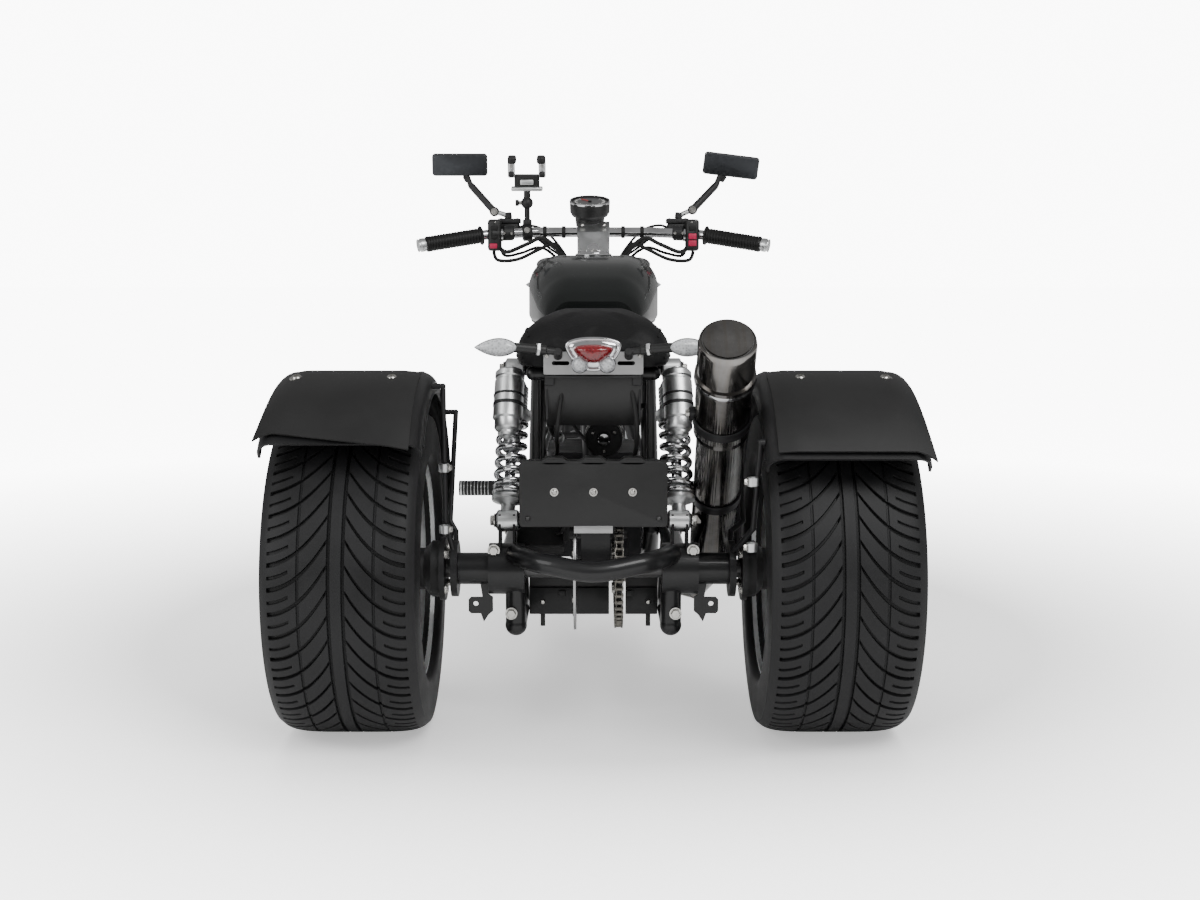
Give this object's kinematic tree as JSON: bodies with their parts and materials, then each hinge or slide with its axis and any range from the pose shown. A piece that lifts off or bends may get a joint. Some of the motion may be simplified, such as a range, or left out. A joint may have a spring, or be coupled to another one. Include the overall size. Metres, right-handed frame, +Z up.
{
  "type": "motorized trike",
  "caption": "Motorized trike with one steered front wheel, wide driven rear wheels under separate fenders, a tank, a saddle, an upright muffler and a handlebar with mirrors.",
  "frame": {"origin": "on the floor, under the middle of the vehicle's box", "axes": "+Z up, the front wheel faces -Y, the rider's left is +X"},
  "size_m": [1.008, 1.9398, 1.0097],
  "materials": {
    "black_frame": "satin black powder coat",
    "satin_black": "satin black",
    "flap_black": "matt black",
    "gloss_black": "deep gloss black",
    "engine_alloy": "cast and bead blasted",
    "cast_parts": "semi-gloss black",
    "cast_alloy": "bead blasted",
    "black_plastic": "moulded grain",
    "dark_exhaust": "dark chrome, heat tinted",
    "chain_steel": "oiled steel",
    "seat_cover": "black vinyl",
    "red_lens": "red lens",
    "brushed_plate": "brushed",
    "clear_lens": "clear lens",
    "silver": "satin silver",
    "chrome_spring": "bright chrome",
    "chrome": "bright chrome",
    "cable_rubber": "smooth black",
    "grip_rubber": "ribbed black",
    "mirror_housing": "dark grey",
    "tyre_rubber": "black rubber",
    "wheel_silver": "satin silver",
    "wheel_black": "satin black",
    "disc_steel": "turned",
    "dark_steel": "oiled steel"
  },
  "bodies": {
    "frame": {"main_frame": "black_frame", "down_tubes": "black_frame", "seat_rails": "black_frame", "swing_arm": "black_frame", "rear_cross_tube": "black_frame", "tow_tabs": "black_frame", "engine": "engine_alloy", "cylinder_head": "engine_alloy", "air_filter": "black_plastic", "battery_box": "black_plastic", "exhaust_pipe": "dark_exhaust", "muffler": "dark_exhaust", "chain": "chain_steel", "rear_panel": "satin_black", "fuel_tank": "gloss_black", "seat": "seat_cover", "tail_light": "red_lens", "plate_bracket": "brushed_plate", "rear_signals": "clear_lens", "mudguard": "black_plastic", "fender_left": "satin_black", "fender_right": "satin_black", "fender_flaps": "flap_black", "fender_stays": "black_frame", "shock_absorbers": "silver", "shock_springs": "chrome_spring", "foot_pegs": "chrome", "rear_caliper": "cast_parts"},
    "steering": {"cables": "cable_rubber", "fork_clamps": "satin_black", "fork_legs": "silver", "handlebar": "chrome", "bar_riser": "cast_alloy", "grips": "grip_rubber", "levers": "cast_parts", "switch_pods": "black_plastic", "mirrors": "mirror_housing", "phone_holder": "black_plastic", "gauge": "black_plastic", "headlight": "gloss_black", "front_signals": "clear_lens", "front_fender": "gloss_black", "front_caliper": "cast_parts"},
    "front_wheel": {"front_tyre": "tyre_rubber", "front_rim": "wheel_silver", "front_disc": "disc_steel"},
    "rear_wheels": {"axle_shaft": "dark_steel", "rear_tyres": "tyre_rubber", "rear_rims": "wheel_black", "sprocket": "chain_steel", "rear_disc": "disc_steel"}
  },
  "joints": [
    {"name": "steering_turn", "type": "hinge", "parent": "frame", "child": "steering", "pos_m": [0, -0.42241, 0.6632], "axis": [0, 0.5299, 0.848], "range_deg": [-35, 35]},
    {"name": "front_wheel_spin", "type": "hinge", "parent": "steering", "child": "front_wheel", "pos_m": [0, -0.725, 0.245], "axis": [1, 0, 0], "continuous": true},
    {"name": "rear_axle_spin", "type": "hinge", "parent": "frame", "child": "rear_wheels", "pos_m": [0, 0.705, 0.265], "axis": [1, 0, 0], "continuous": true}
  ]
}
